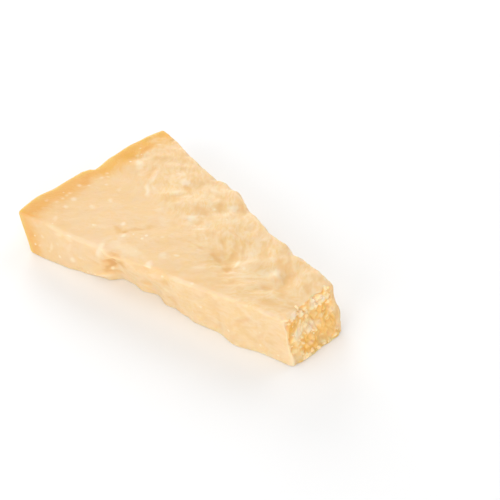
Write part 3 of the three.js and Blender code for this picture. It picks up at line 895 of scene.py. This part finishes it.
# %% The tree that scatters crumbs
def crumb_tree():
    tree = bpy.data.node_groups.new("scatter_crumbs", "GeometryNodeTree")
    kinds = {"Face": "Geometry", "Spacing": "Float", "Smallest": "Float", "Largest": "Float",
             "Unevenness": "Float", "Seed": "Int", "Paste": "Material"}
    names = {}
    for name, kind in kinds.items():
        socket = tree.interface.new_socket(name, in_out="INPUT", socket_type="NodeSocket" + kind)
        names[name] = socket.identifier
    tree.interface.new_socket("Crumbs", in_out="OUTPUT", socket_type="NodeSocketGeometry")
    given = tree.nodes.new("NodeGroupInput").outputs

    def at_random(low, high, seed, kind="FLOAT"):
        node = tree.nodes.new("FunctionNodeRandomValue")
        node.data_type = kind
        sockets = [s for s in node.inputs if s.enabled]
        for socket, value in zip(sockets, (low, high)):
            if isinstance(value, bpy.types.NodeSocket):
                tree.links.new(value, socket)
            else:
                socket.default_value = value
        node.inputs["Seed"].default_value = seed
        return next(s for s in node.outputs if s.enabled)

    def scaled(vector, amount):
        return add(tree, "ShaderNodeVectorMath", {0: vector, "Scale": amount}, operation="SCALE").outputs[0]

    # Patches of points on the face, fewer in its amber hollows
    hollows = add(tree, "GeometryNodeInputNamedAttribute", {"Name": "amber"}, data_type="FLOAT")
    patches = noise(tree, add(tree, "GeometryNodeInputPosition").outputs[0], 330.0, 1.0)
    within = {"Value": patches, "From Min": 0.47, "From Max": 0.67}
    patches = add(tree, "ShaderNodeMapRange", within).outputs["Result"]
    outside_hollows = {0: patches, 1: hollows.outputs["Attribute"]}
    share = add(tree, "ShaderNodeMath", outside_hollows, operation="SUBTRACT", use_clamp=True).outputs[0]
    spread = {"Mesh": given["Face"], "Distance Min": given["Spacing"], "Density Max": 4e6,
              "Density Factor": share, "Seed": given["Seed"]}
    spots = add(tree, "GeometryNodeDistributePointsOnFaces", spread, distribute_method="POISSON")

    # A ball on each point, stretched and turned at random
    ball = add(tree, "GeometryNodeMeshIcoSphere", {"Radius": 1.0, "Subdivisions": 2})
    size = at_random(given["Smallest"], given["Largest"], 1)
    scale = scaled(at_random((0.55, 0.55, 0.55), (1.3, 1.3, 1.3), 2, "FLOAT_VECTOR"), size)
    turn = at_random((0, 0, 0), (math.tau, math.tau, math.tau), 3, "FLOAT_VECTOR")
    placed = {"Points": spots.outputs["Points"], "Instance": ball.outputs["Mesh"],
              "Rotation": turn, "Scale": scale}
    crumbs = add(tree, "GeometryNodeInstanceOnPoints", placed)
    lot = {"Geometry": crumbs.outputs[0], "Name": "crumb_lot", "Value": at_random(0.0, 1.0, 4)}
    marked = add(tree, "GeometryNodeStoreNamedAttribute", lot, data_type="FLOAT", domain="INSTANCE")
    real = add(tree, "GeometryNodeRealizeInstances", {"Geometry": marked.outputs["Geometry"]})

    # Push each ball out of round
    lumps = noise(tree, add(tree, "GeometryNodeInputPosition").outputs[0], 1100.0, 1.0)
    amount = times(tree, maths(tree, "SUBTRACT", lumps, 0.6), given["Unevenness"])
    push = scaled(add(tree, "GeometryNodeInputNormal").outputs[0], amount)
    uneven = add(tree, "GeometryNodeSetPosition", {"Geometry": real.outputs[0], "Offset": push})
    coated = {"Geometry": uneven.outputs[0], "Material": given["Paste"]}
    finished = add(tree, "GeometryNodeSetMaterial", coated)
    tree.links.new(finished.outputs[0], tree.nodes.new("NodeGroupOutput").inputs[0])
    return tree, names


scatter_tree, scatter_names = crumb_tree()
print("crumb tree inputs:", ", ".join(scatter_names))


# %% Scatter them over the broken end
def scatter_on(name, mesh, **values):
    """Runs the crumb tree on a face and returns the crumbs as a plain mesh object."""
    carrier = show(name + "_face", mesh)
    modifier = carrier.modifiers.new("crumbs", "NODES")
    modifier.node_group = scatter_tree
    for key, value in values.items():
        modifier[scatter_names[key]] = value
    bpy.context.view_layer.update()
    made = bpy.data.meshes.new_from_object(carrier.evaluated_get(bpy.context.evaluated_depsgraph_get()))
    made.name = name
    bpy.data.objects.remove(carrier)
    return show(name, made)


RIM = 2.0  # the smooth border at the front and back side of the break
FOOT_RIM = 0.8  # and over the table
SUNK = 0.3  # how deep the crumbs' middles lie under the face
gap_front = half_width(slab[:, 0]) + slab[:, 1]
gap_back = half_width(slab[:, 0]) - slab[:, 1]
uneven_rim = RIM * (1 + 0.5 * hills(across / 3, up / 3, 91))
in_break = (broken > 0.6) & (gap_front > uneven_rim) & (gap_back > RIM) & (up > FOOT_RIM)
end_faces = faces[in_break[faces].all(axis=1)]
kept, numbering = np.unique(end_faces, return_inverse=True)


def end_face(name):
    sunk = points[kept] - SUNK * normals_of(points, faces)[kept]
    mesh = mesh_from(name, sunk, numbering.reshape(-1, 4))
    keep(mesh, amber=amber[kept], pale=pale[kept])
    return mesh


large = scatter_on("large_crumbs", end_face("end_large"), Spacing=0.0021, Smallest=0.0008, Largest=0.0014,
                   Unevenness=0.0014, Seed=3, Paste=crumb_paste)
small = scatter_on("small_crumbs", end_face("end_small"), Spacing=0.0015, Smallest=0.0004, Largest=0.0007,
                   Unevenness=0.0006, Seed=11, Paste=crumb_paste)
for crumbs in (large, small):
    print(crumbs.name, len(crumbs.data.polygons), "triangles")

# %% Take the place of the plain solid
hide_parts("parmesan_wedge")
for piece in (body, large, small):
    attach(piece, "root")

# %% [markdown]
# ## Table, light and camera
#
# The wedge lies on a white table in a bright studio. Soft light comes from all round, the
# strongest from low behind it, so its shadow is faint and falls forwards. Wide round lamps
# do this more simply than a picture of a studio wrapped round the scene.

# %% Table
TABLE_REACH = 3000.0  # to each side, far beyond the picture
corners = TABLE_REACH * np.array([(-1, -1, 0), (1, -1, 0), (1, 1, 0), (-1, 1, 0)])
floor = show("table", mesh_from("table", corners, np.array([[0, 1, 2, 3]])))
white = bpy.data.materials.new("white_table")
white.use_nodes = True
white.node_tree.nodes["Principled BSDF"].inputs["Base Color"].default_value = (0.9, 0.9, 0.9, 1)
white.node_tree.nodes["Principled BSDF"].inputs["Roughness"].default_value = 0.8
floor.data.materials.append(white)


# %% Camera
def direction(azimuth, elevation):
    """The way to a camera or lamp. Azimuth 0 stands on the -Y side, and 90 on the +X side."""
    a, e = math.radians(azimuth), math.radians(elevation)
    return Vector((math.sin(a) * math.cos(e), -math.cos(a) * math.cos(e), math.sin(e)))


def point_at(thing, target, back, distance):
    thing.location = Vector(target) * MM + back * distance * MM
    thing.rotation_mode = "QUATERNION"
    thing.rotation_quaternion = (-back).to_track_quat("-Z", "Y")


TARGET = (WHEEL_CENTRE[0] - 120.9, WHEEL_CENTRE[1] + 26.1, 0)  # in the picture's middle
CAMERA_AZIMUTH, CAMERA_ELEVATION = 44.1, 42.0  # degrees
CAMERA_DISTANCE = 533
camera = show("camera", bpy.data.cameras.new("camera"))
camera.data.lens = 85
camera.data.sensor_width = 36
point_at(camera, TARGET, direction(CAMERA_AZIMUTH, CAMERA_ELEVATION), CAMERA_DISTANCE)
bpy.context.scene.camera = camera

# %% Light
LAMP_WIDTH = 0.9  # metres
LAMP_DISTANCE = 1200
LAMPS = {  # azimuth, elevation, watts
    "top_left": (300, 65, 3.6),
    "behind": (180, 40, 3.3),
    "low_left": (240, 15, 7.5),
    "front_fill": (0, 25, 4.8),
    "right_fill": (60, 15, 4.6),
}
for name, (azimuth, elevation, watts) in LAMPS.items():
    lamp = show(name, bpy.data.lights.new(name, "AREA"))
    lamp.data.shape = "DISK"
    lamp.data.size = LAMP_WIDTH
    lamp.data.energy = watts
    point_at(lamp, (0, 0, 10), direction(azimuth, elevation), LAMP_DISTANCE)

world = bpy.data.worlds.new("studio")
bpy.context.scene.world = world
world.use_nodes = True
world.node_tree.nodes["Background"].inputs["Color"].default_value = (1, 1, 1, 1)
world.node_tree.nodes["Background"].inputs["Strength"].default_value = 0.5
bpy.context.scene.view_settings.view_transform = "Standard"
